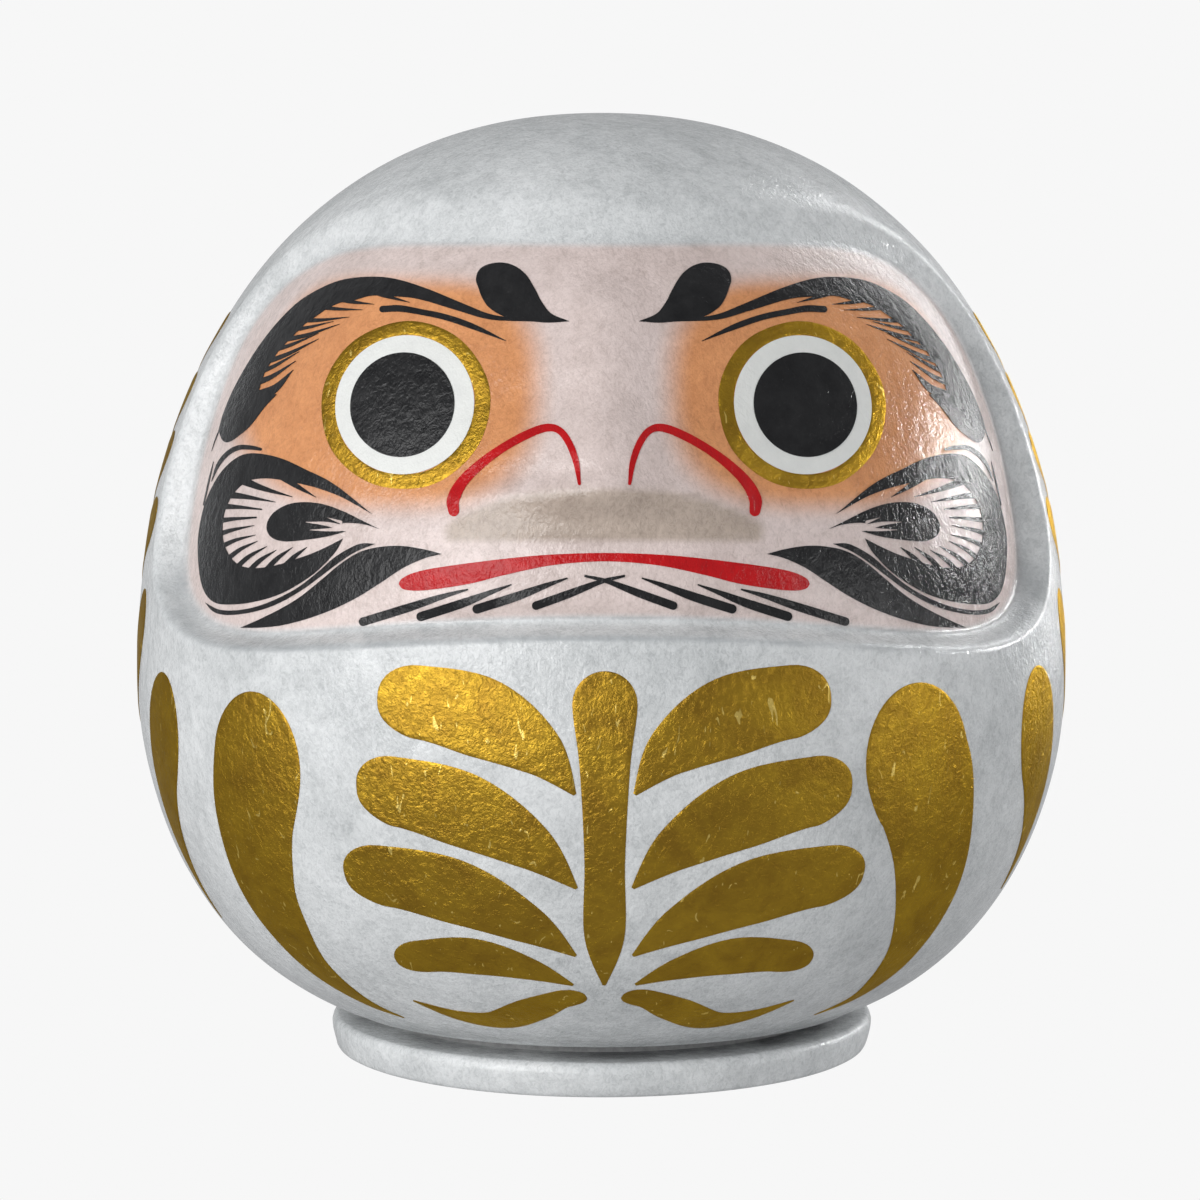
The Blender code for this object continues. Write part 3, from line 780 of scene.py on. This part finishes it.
def eye_ring(name, side, mat, replaced):
    """The raised ring of leaf round an eye."""
    middle, height, wide_out, tall_out, wide_in, tall_in = EYE
    steps = 240
    span = wide_out - wide_in
    edge = np.array(EDGE_PLACES)
    across = np.concatenate([edge, [span / 2.0], (span - edge)[::-1]])
    angle = np.linspace(0.0, math.tau, steps, endpoint=False)
    part = across / span
    wide = wide_in + span * part
    tall = tall_in + (tall_out - tall_in) * part
    wobble = 1.0 + 0.004 * np.sin(5.0 * angle + 1.0) + 0.003 * np.sin(9.0 * angle)
    x = side * middle + np.outer(np.cos(angle) * wobble, wide)
    z = height + np.outer(np.sin(angle) * wobble, tall)
    lift = LEAF_LIFT + emboss(np.minimum(across, span - across))
    azimuths, z = throw(x, z)
    top = skin(azimuths, z, lift[None, :])
    low = skin(azimuths, z, LEAF_LIFT)
    count = len(across)
    under = steps * count
    faces = []
    for k in range(steps):
        n = (k + 1) % steps
        for j in range(count - 1):
            a, b, c, d = k * count + j, k * count + j + 1, n * count + j + 1, n * count + j
            faces.append((a, b, c, d))
            faces.append((under + d, under + c, under + b, under + a))
        a, d = k * count, n * count
        b, c = a + count - 1, d + count - 1
        faces.append((a, d, d + under, a + under))
        faces.append((c, b, b + under, c + under))
    points = np.concatenate([top.reshape(-1, 3), low.reshape(-1, 3)])
    make_piece(name, points, faces, mat, replaced)


def build_gold(mats):
    gold = mats["gold"]
    eye_ring("gilt_eye_ring_left", -1.0, gold, ("eye_ring_left",))
    eye_ring("gilt_eye_ring_right", 1.0, gold, ("eye_ring_right",))
    strokes = {
        "robe_front_left": FRONT_LEFT, "robe_front_right": FRONT_RIGHT,
        "robe_side_left": SIDE_LEFT, "robe_side_right": SIDE_RIGHT,
        "sprig_stem": STEM, "wave_left": mirrored(WAVE), "wave_right": WAVE,
    }
    for word, tables in (("sleeve", SLEEVES), ("sprig_leaf", LEAVES)):
        for number, knots in enumerate(tables, 1):
            strokes[f"{word}_left_{number}"] = mirrored(knots)
            strokes[f"{word}_right_{number}"] = knots
    for name, knots in strokes.items():
        leaf_stroke("gilt_" + name, knots, gold, (name,))


# ---------------- face paint
CURVE_STEP = 0.35
# A stroke with a wider end than this gets a round one.
BLUNT = 0.25


def spline(points):
    """Points along a smooth curve through the given ones, without the last."""
    out = []
    for i, (p1, p2) in enumerate(zip(points, points[1:])):
        p0 = points[i - 1] if i else tuple(2 * a - b for a, b in zip(p1, p2))
        p3 = points[i + 2] if i + 2 < len(points) else tuple(2 * b - a for a, b in zip(p1, p2))
        count = max(2, int(math.dist(p1[:2], p2[:2]) / CURVE_STEP))
        for k in range(count):
            out.append(tuple(blend(*four, k / count) for four in zip(p0, p1, p2, p3)))
    return out


def closed_shape(*runs):
    """Outline from smooth runs that meet at corners: each run starts where the last one ended."""
    out = []
    for run in runs:
        out += spline(run)
    return out


def blade(knots):
    """Outline of a brush stroke from (x, z, half width) knots."""
    centre = spline(knots) + [knots[-1]]
    left, right = [], []
    for k, (x, z, wide) in enumerate(centre):
        ahead = centre[min(k + 1, len(centre) - 1)]
        behind = centre[max(k - 1, 0)]
        run, rise = ahead[0] - behind[0], ahead[1] - behind[1]
        size = math.hypot(run, rise) or 1.0
        wide = max(wide, 0.02)
        left.append((x - rise / size * wide, z + run / size * wide))
        right.append((x + rise / size * wide, z - run / size * wide))
    if knots[0][2] > BLUNT:
        left = round_end(centre[0], centre[1], knots[0][2]) + left
    if knots[-1][2] > BLUNT:
        left = left + round_end(centre[-1], centre[-2], knots[-1][2])
    return left + right[::-1]


def blades(table):
    return [blade(knots) for knots in table]


def round_end(end, neighbour, wide):
    """Half circle round the end of a stroke, in the order that the outline runs."""
    back = math.atan2(end[1] - neighbour[1], end[0] - neighbour[0])
    turns = [back + math.pi / 2 - math.pi * k / 10 for k in range(1, 10)]
    return [(end[0] + wide * math.cos(turn), end[1] + wide * math.sin(turn)) for turn in turns]


def inside(points, polygon):
    """Which points are in the polygon."""
    polygon = np.asarray(polygon)
    x, y = points[:, 0], points[:, 1]
    result = np.zeros(len(points), bool)
    for (x0, y0), (x1, y1) in zip(polygon, np.roll(polygon, -1, axis=0)):
        crosses = (y0 > y) != (y1 > y)
        if crosses.any():
            at = x0 + (y - y0) * (x1 - x0) / (y1 - y0 if y1 != y0 else 1e-12)
            result ^= crosses & (x < at)
    return result


def in_paint(points, added, cut):
    """Which points are in an added outline and in no cut one."""
    keep = np.zeros(len(points), bool)
    for shape in added:
        keep |= inside(points, shape)
    for shape in cut:
        keep &= ~inside(points, shape)
    return keep


# The chart on which paint is meshed: millimetres for each degree of azimuth, then height.
PER_DEGREE = 1.4
PAINT_THICK = 0.07
PAINT_BASE = 0.05
PUPIL_BASE = 0.14
FILL_STEP = 1.3
FILL_MARGIN = 0.3


def to_chart(outline, side):
    """From the drawing in front of the face to the chart, mirrored for the left side."""
    outline = np.asarray(outline, float)[:, :2]
    azimuths, heights = throw(side * outline[:, 0], outline[:, 1])
    chart = np.stack([azimuths * PER_DEGREE, heights], axis=-1)
    return chart[::-1] if side < 0 else chart


def paint_piece(name, added, cut, mat, base=PAINT_BASE):
    """One thin coat of paint: the added outlines joined, without the cut ones, on the face."""
    shapes = added + cut
    points = np.concatenate(shapes)
    edges = []
    start = 0
    for shape in shapes:
        count = len(shape)
        edges += [(start + k, start + (k + 1) % count) for k in range(count)]
        start += count
    low, high = points.min(axis=0), points.max(axis=0)
    columns = np.arange(low[0], high[0], FILL_STEP)
    xs, zs = np.meshgrid(columns, np.arange(low[1], high[1], FILL_STEP))
    xs = xs + np.where(np.arange(xs.shape[0])[:, None] % 2, FILL_STEP / 2, 0.0)
    fill = np.stack([xs.ravel(), zs.ravel()], axis=-1)
    fill = fill[in_paint(fill, added, cut)]
    if len(fill):
        near = np.array([np.min(np.hypot(*(points - p).T)) for p in fill])
        fill = fill[near > FILL_MARGIN]
    vertices = [Vector(p) for p in np.concatenate([points, fill])]
    made = geometry.delaunay_2d_cdt(vertices, edges, [], 0, 1e-4)
    flat = np.array([tuple(v) for v in made[0]])
    triangles = np.array([face for face in made[2] if len(face) == 3])
    triangles = triangles[in_paint(flat[triangles].mean(axis=1), added, cut)]
    used, triangles = np.unique(triangles, return_inverse=True)
    triangles = triangles.reshape(-1, 3).tolist()
    count = len(used)
    azimuths, heights = flat[used, 0] / PER_DEGREE, flat[used, 1]
    top = skin(azimuths, heights, base + PAINT_THICK)
    solid = np.concatenate([top, skin(azimuths, heights, base)])
    faces = [tuple(t) for t in triangles]
    faces += [(c + count, b + count, a + count) for a, b, c in triangles]
    sides = {edge: True for a, b, c in triangles for edge in ((a, b), (b, c), (c, a))}
    faces += [(b, a, a + count, b + count) for a, b in sides if (b, a) not in sides]
    make_piece(name, solid, faces, mat)


# Outlines on the drawing are (x, z), strokes are (x, z, half width); both for the right side.
BROW = closed_shape(
    ((13.6, 141.75), (20.4, 142.6), (26.0, 144.8), (33.4, 148.0), (39.7, 150.1), (45.1, 150.75),
     (50.7, 150.4), (55.6, 148.8), (60.0, 146.4), (64.3, 142.5), (67.9, 138.2), (70.9, 133.7),
     (73.3, 129.4), (75.0, 125.2), (75.7, 122.3)),
    ((75.7, 122.3), (75.3, 121.1), (74.4, 119.9), (73.3, 119.5), (71.9, 119.9), (70.5, 120.7),
     (67.9, 122.6), (64.9, 126.1), (62.4, 128.5)),
    ((62.4, 128.5), (64.6, 128.9), (66.7, 128.7)),
    ((66.7, 128.7), (65.8, 132.2), (64.4, 134.8), (62.6, 137.2), (60.3, 139.4), (58.0, 141.6),
     (55.6, 143.2), (52.6, 145.0), (50.0, 145.9), (47.4, 146.2), (44.1, 146.9), (39.5, 146.6),
     (34.6, 145.9), (27.0, 143.5), (21.0, 141.75), (13.6, 141.3)),
    ((13.6, 141.3), (13.6, 141.75)),
)
BROW_HEAD = closed_shape(
    ((6.4, 141.3), (9.6, 142.7), (11.4, 144.9), (12.6, 147.2), (14.3, 150.0), (16.4, 151.8),
     (18.9, 152.6), (21.6, 152.3), (23.3, 151.2), (23.8, 149.4), (23.3, 147.8), (22.6, 146.0),
     (21.4, 144.2), (19.3, 142.7), (16.8, 141.8), (13.4, 141.3)),
    ((13.4, 141.3), (10.0, 141.05), (6.4, 141.3)),
)
BROW_HAIRS = (
    ((45.0, 148.0, 0.4), (41.0, 146.7, 0.36), (36.3, 145.3, 0.03)),
    ((52.5, 147.0, 0.45), (48.0, 145.9, 0.36), (43.3, 145.2, 0.03)),
    ((56.5, 145.6, 0.45), (51.5, 144.7, 0.34), (45.6, 144.2, 0.03)),
    ((60.4, 143.2, 0.55), (55.2, 142.6, 0.38), (48.2, 142.9, 0.03)),
    ((62.2, 141.0, 0.5), (57.4, 141.2, 0.34), (51.4, 142.2, 0.03)),
    ((64.4, 139.0, 0.6), (57.8, 139.6, 0.40), (50.1, 141.6, 0.03)),
    ((66.0, 136.8, 0.5), (60.6, 137.9, 0.36), (54.4, 140.0, 0.03)),
    ((67.2, 134.6, 0.6), (61.4, 136.0, 0.42), (54.2, 138.9, 0.03)),
    ((68.2, 132.6, 0.5), (63.8, 133.9, 0.38), (58.2, 136.6, 0.03)),
    ((68.6, 130.6, 0.7), (64.0, 131.9, 0.46), (58.8, 134.8, 0.03)),
    ((66.4, 128.4, 1.0), (62.8, 129.7, 0.80), (59.2, 133.1, 0.03)),
)
UNDER_BROW = (
    (41.6, 144.2, 0.62), (38.2, 144.2, 0.62), (34.5, 143.5, 0.55), (29.3, 142.3, 0.55),
    (24.0, 140.4, 0.5), (17.9, 137.7, 0.04),
)
BROW_THREAD = ((75.3, 122.6, 0.16), (76.4, 120.0, 0.12), (77.1, 117.8, 0.02))

BEARD = closed_shape(
    ((42.2, 106.6), (49.7, 111.9), (55.7, 114.6), (60.6, 116.5), (65.7, 117.4), (69.6, 117.0),
     (73.2, 114.7), (75.9, 111.4), (78.0, 107.0), (79.0, 101.6), (78.7, 96.8), (77.8, 93.0),
     (76.3, 90.6), (74.0, 89.4), (70.6, 89.4), (66.0, 90.1), (61.1, 91.5), (57.1, 93.4),
     (53.1, 96.0), (50.1, 98.8), (48.7, 100.5), (47.8, 102.2)),
    ((47.8, 102.2), (50.6, 100.8), (53.8, 99.4), (57.0, 98.3), (60.5, 97.2), (64.7, 96.4),
     (68.0, 96.5), (70.1, 97.4), (71.5, 98.8), (72.6, 100.7), (73.0, 103.0), (72.9, 105.4),
     (72.1, 107.8), (70.5, 110.2), (67.7, 112.2), (64.0, 112.8), (59.4, 112.4), (53.6, 111.3),
     (49.0, 109.9), (45.7, 108.4), (42.2, 106.6)),
)
BEARD_TEETH = (
    ((60.6, 113.4, 0.75), (57.0, 111.4, 0.45), (53.2, 109.5, 0.04)),
    ((69.6, 112.6, 0.85), (64.4, 111.0, 0.5), (58.0, 109.5, 0.05)),
    ((72.8, 109.7, 0.75), (67.6, 109.3, 0.42), (61.5, 108.5, 0.05)),
    ((73.9, 107.4, 0.62), (69.6, 107.4, 0.36), (64.3, 107.1, 0.12)),
    ((74.1, 104.7, 0.55), (70.2, 105.2, 0.32), (65.4, 105.6, 0.14)),
    ((73.9, 102.2, 0.5), (70.4, 103.2, 0.32), (65.9, 104.1, 0.05)),
    ((73.2, 99.9, 0.5), (69.8, 101.3, 0.32), (65.5, 102.4, 0.04)),
    ((71.8, 97.6, 0.5), (68.8, 99.6, 0.36), (65.0, 101.3, 0.04)),
    ((69.7, 96.1, 0.5), (66.8, 98.4, 0.38), (63.0, 100.4, 0.04)),
    ((67.1, 95.4, 0.5), (64.4, 97.8, 0.4), (61.0, 99.8, 0.04)),
    ((63.4, 95.8, 0.5), (60.9, 98.2, 0.42), (57.7, 100.4, 0.04)),
    ((59.2, 97.0, 0.5), (57.2, 98.8, 0.4), (54.8, 100.5, 0.04)),
)
BEARD_HEART = closed_shape(
    ((40.8, 104.0), (44.2, 105.5), (47.9, 107.1), (51.4, 108.2), (54.9, 108.6), (58.2, 108.3),
     (60.9, 107.2), (62.5, 105.8), (63.2, 104.1), (62.7, 102.6), (61.3, 101.7), (59.0, 101.4),
     (55.2, 101.8), (50.9, 102.5), (47.2, 103.5)),
    ((47.2, 103.5), (48.4, 103.6), (49.6, 103.8), (49.2, 104.5), (47.2, 105.0), (43.8, 104.8),
     (40.8, 104.0)),
)
HEART_CUTS = (
    ((48.2, 105.1, 0.3), (49.2, 105.4, 0.2), (50.9, 105.9, 0.02)),
    ((48.6, 104.3, 0.5), (51.4, 104.8, 0.34), (55.2, 105.0, 0.05)),
    ((48.4, 103.9, 0.4), (51.0, 103.7, 0.26), (54.3, 103.6, 0.05)),
)
BEARD_RIM = (
    (76.4, 112.0, 0.05), (75.0, 115.2, 0.42), (72.8, 117.4, 0.5), (70.2, 118.5, 0.46),
    (67.4, 118.5, 0.4), (65.2, 118.2, 0.28),
)
BEARD_THREAD = ((76.3, 115.8, 0.04), (77.0, 112.6, 0.2), (78.1, 107.4, 0.16))
BEARD_BAND = closed_shape(
    ((76.7, 89.3), (74.7, 87.8), (71.9, 87.4), (67.8, 87.9), (63.5, 89.0), (59.8, 90.5),
     (55.7, 92.8), (52.1, 95.3), (48.5, 97.9), (45.3, 99.9), (41.6, 101.4)),
    ((41.6, 101.4), (44.2, 101.4), (46.7, 100.4), (49.5, 98.7), (52.6, 96.1), (56.4, 93.3),
     (60.8, 91.0), (65.3, 89.3), (69.6, 88.4), (73.4, 88.3), (76.7, 89.3)),
)
WHISKER = closed_shape(
    ((68.5, 85.3), (64.6, 87.0), (59.7, 89.4), (55.7, 91.8), (51.7, 94.9), (47.9, 97.9),
     (44.2, 100.0), (40.4, 100.9), (36.6, 101.1), (32.6, 100.6), (29.2, 99.8)),
    ((29.2, 99.8), (32.4, 99.0), (36.4, 97.2), (40.3, 94.7), (44.5, 92.1), (49.1, 89.8),
     (54.3, 87.8), (59.7, 86.3), (64.2, 85.6), (68.5, 85.3)),
)
CHIN_HAIRS = (
    ((43.8, 87.6, 0.76), (35.0, 90.4, 0.72), (29.0, 92.4, 0.45), (24.4, 93.7, 0.14)),
    ((33.0, 88.8, 0.80), (25.6, 91.2, 0.76), (20.4, 93.2, 0.42), (16.6, 94.6, 0.12)),
    ((22.8, 90.3, 0.80), (15.6, 92.6, 0.76), (10.4, 94.5, 0.44), (6.6, 95.8, 0.12)),
)
CHIN_CROSSING = ((12.2, 91.0, 0.74), (6.0, 93.2, 0.68), (0.6, 95.2, 0.4), (-3.6, 96.2, 0.2))
NOSTRIL = (
    (27.1, 107.4, 1.0), (27.2, 109.4, 1.15), (25.6, 112.4, 1.0), (22.3, 115.6, 0.85),
    (18.4, 118.4, 0.75), (14.2, 120.7, 0.75), (10.6, 122.0, 0.7), (8.2, 121.6, 0.62),
    (6.4, 119.4, 0.62), (5.1, 116.0, 0.55), (4.5, 112.2, 0.28),
)
MOUTH_TOP = (
    (37.1, 94.4), (36.6, 95.3), (34.4, 96.4), (30.6, 97.3), (24.0, 98.3), (15.0, 99.4),
    (7.7, 99.95), (0.0, 100.15),
)
MOUTH_LOW = (
    (0.0, 98.7), (9.4, 98.0), (18.1, 96.2), (24.0, 94.7), (30.7, 93.6), (34.4, 93.3), (36.4, 93.6),
    (37.1, 94.4),
)


def ellipse(x, z, wide, tall):
    turns = [math.tau * k / 200 for k in range(200)]
    return [(x + wide * math.cos(turn), z + tall * math.sin(turn)) for turn in turns]


def build_face(mats):
    black, red = mats["black"], mats["red"]
    middle, height, _, _, wide, tall = EYE
    white = ellipse(middle, height, wide - 0.05, tall - 0.05)
    pupil = ellipse(middle + 0.3, height - 0.1, 9.9, 9.5)
    coats = (
        ("brow", [BROW, BROW_HEAD, blade(BROW_THREAD)] + blades(BROW_HAIRS), [], black),
        ("under_brow", [blade(UNDER_BROW)], [], black),
        ("beard", [BEARD, blade(BEARD_THREAD)] + blades(BEARD_TEETH), [], black),
        ("beard_heart", [BEARD_HEART], blades(HEART_CUTS), black),
        ("beard_rim", [blade(BEARD_RIM)], [], black),
        ("beard_band", [BEARD_BAND], [], black),
        ("whisker", [WHISKER], [], black),
        ("chin_hairs", blades(CHIN_HAIRS), [], black),
        ("nostril_line", [blade(NOSTRIL)], [], red),
        ("eye_white", [white], [], mats["eye"]),
    )
    for side, word in ((-1.0, "left"), (1.0, "right")):
        for name, added, cut, mat in coats:
            added = [to_chart(outline, side) for outline in added]
            cut = [to_chart(outline, side) for outline in cut]
            paint_piece(f"{name}_{word}", added, cut, mat)
        paint_piece("pupil_" + word, [to_chart(pupil, side)], [], mats["pupil"], PUPIL_BASE)
    crossing = blade(CHIN_CROSSING)
    both = [to_chart(crossing, 1.0), to_chart(crossing, -1.0)]
    paint_piece("chin_cross", both, [], black)
    left_low = tuple((-x, z) for x, z in MOUTH_LOW[:0:-1])
    left_top = tuple((-x, z) for x, z in MOUTH_TOP[-2::-1])
    mouth = closed_shape(left_low + MOUTH_LOW, MOUTH_TOP + left_top)
    paint_piece("mouth", [to_chart(mouth, 1.0)], [], red)


# ---------------- setting
ROOM_STRENGTH = 0.385
# The room is this part darker at its top.
ROOM_TOP_LOSS = 0.18
BACKDROP = 0.93
AIM = Vector((0.0, 0.0, 0.0869))
CAMERA_DISTANCE = 0.5566
CAMERA_PITCH = 0.054
CAMERA_YAW = math.radians(0.36)
# Azimuth and elevation in degrees, distance, width and height in metres, power in watts.
LIGHTS = (
    ("soft_left", -39.0, 10.0, 1.2, 1.0, 0.75, 11.2),
    ("soft_right", 70.0, -1.0, 1.2, 0.25, 0.36, 1.7),
    ("strip_back", 138.0, 20.0, 1.0, 0.045, 0.9, 2.2),
    ("card_right", 112.5, 13.0, 1.0, 0.06, 0.14, 3.2),
    ("strip_high", 126.0, 44.0, 1.0, 0.05, 0.5, 0.5),
)


def look_along(obj, target, way, distance):
    """Put the object at a distance from the target along way, facing the target."""
    obj.location = target + way * distance
    obj.rotation_euler = (-way).to_track_quat("-Z", "Y").to_euler()
    bpy.context.scene.collection.objects.link(obj)


def area_light(name, azimuth, elevation, distance, width, height, power):
    data = bpy.data.lights.new(name, "AREA")
    data.shape = "RECTANGLE"
    data.size = width
    data.size_y = height
    data.energy = power
    a, e = math.radians(azimuth), math.radians(elevation)
    way = Vector((math.sin(a) * math.cos(e), -math.cos(a) * math.cos(e), math.sin(e)))
    look_along(bpy.data.objects.new(name, data), Vector((0.0, 0.0, 0.09)), way, distance)


def build_room(scene):
    """Soft light from all round, and a plain pale background for the camera."""
    world = bpy.data.worlds.new("studio")
    scene.world = world
    world.use_nodes = True
    tree = world.node_tree
    room = tree.nodes["Background"]
    fill(room, Color=(0.97, 0.98, 1.0, 1.0))
    parts = node(tree, "ShaderNodeSeparateXYZ")
    link(node(tree, "ShaderNodeTexCoord").outputs["Generated"], parts.inputs["Vector"])
    top = ROOM_STRENGTH * (1.0 - ROOM_TOP_LOSS)
    link(ramp(tree, parts.outputs["Z"], 0.0, 1.0, ROOM_STRENGTH, top), room.inputs["Strength"])
    shown = node(tree, "ShaderNodeBackground", Color=(BACKDROP, BACKDROP, BACKDROP, 1.0))
    choice = node(tree, "ShaderNodeMixShader")
    link(node(tree, "ShaderNodeLightPath").outputs["Is Camera Ray"], choice.inputs["Fac"])
    link(room.outputs["Background"], choice.inputs[1])
    link(shown.outputs["Background"], choice.inputs[2])
    link(choice.outputs["Shader"], tree.nodes["World Output"].inputs["Surface"])


def build_floor(scene):
    """A floor of the background's own tone, seen by the camera only."""
    size, z = 6.0, -0.0002
    corners = [(-size, -size, z), (size, -size, z), (size, size, z), (-size, size, z)]
    mesh = bpy.data.meshes.new("floor")
    mesh.from_pydata(corners, [], [(0, 1, 2, 3)])
    mat, _, shader = material("floor_paper")
    fill(shader, Base_Color=(0.0, 0.0, 0.0, 1.0), Roughness=1.0, Specular_IOR_Level=0.0)
    fill(shader, Emission_Color=(1.0, 1.0, 1.0, 1.0), Emission_Strength=BACKDROP)
    mesh.materials.append(mat)
    floor = bpy.data.objects.new("floor", mesh)
    scene.collection.objects.link(floor)
    floor.visible_diffuse = False
    floor.visible_glossy = False


def build_camera(scene):
    camera = bpy.data.cameras.new("camera")
    camera.lens = 85.0
    camera.sensor_width = 36.0
    camera.shift_x = -0.00125
    holder = bpy.data.objects.new("camera", camera)
    level = math.cos(CAMERA_PITCH)
    side, front = math.sin(CAMERA_YAW) * level, math.cos(CAMERA_YAW) * level
    way = Vector((-side, -front, math.sin(CAMERA_PITCH)))
    look_along(holder, AIM, way, CAMERA_DISTANCE)
    scene.camera = holder


def build_setting():
    scene = bpy.context.scene
    scene.view_settings.view_transform = "Standard"
    scene.view_settings.look = "None"
    build_room(scene)
    build_floor(scene)
    for light in LIGHTS:
        area_light(*light)
    build_camera(scene)


def main():
    mats = {
        "white": white_paint("white_lacquer"),
        "face": white_paint("face_lacquer", True, True),
        "foot": white_paint("foot_lacquer", True),
        "black": lacquer("black_lacquer", (0.022, 0.022, 0.023), (0.010, 0.010, 0.011)),
        "pupil": lacquer("pupil_lacquer", (0.020, 0.020, 0.021), (0.010, 0.010, 0.011)),
        "red": lacquer("red_lacquer", (0.60, 0.007, 0.010), (0.46, 0.004, 0.007)),
        "eye": lacquer("eye_white", (0.86, 0.87, 0.84), (0.80, 0.81, 0.785), (0.34, 0.46), 0.5),
        "gold": gold_leaf("gold_leaf"),
    }
    build_body(mats)
    build_foot(mats)
    build_gold(mats)
    build_face(mats)
    looks = {
        "seam_strip": raw_paper("washi_raw", (0.72, 0.66, 0.52), (0.60, 0.54, 0.42)),
        "foot_paper": raw_paper("washi_foot", (0.66, 0.62, 0.53), (0.52, 0.48, 0.40)),
        # the neck strip's paper is dark grey: painted shade in the groove between body and foot
        "neck_strip": raw_paper("neck_shade_paper", (0.34, 0.34, 0.34), (0.22, 0.22, 0.22)),
    }
    for name, mat in looks.items():
        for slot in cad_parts[name].material_slots:
            slot.material = mat
    build_setting()


main()
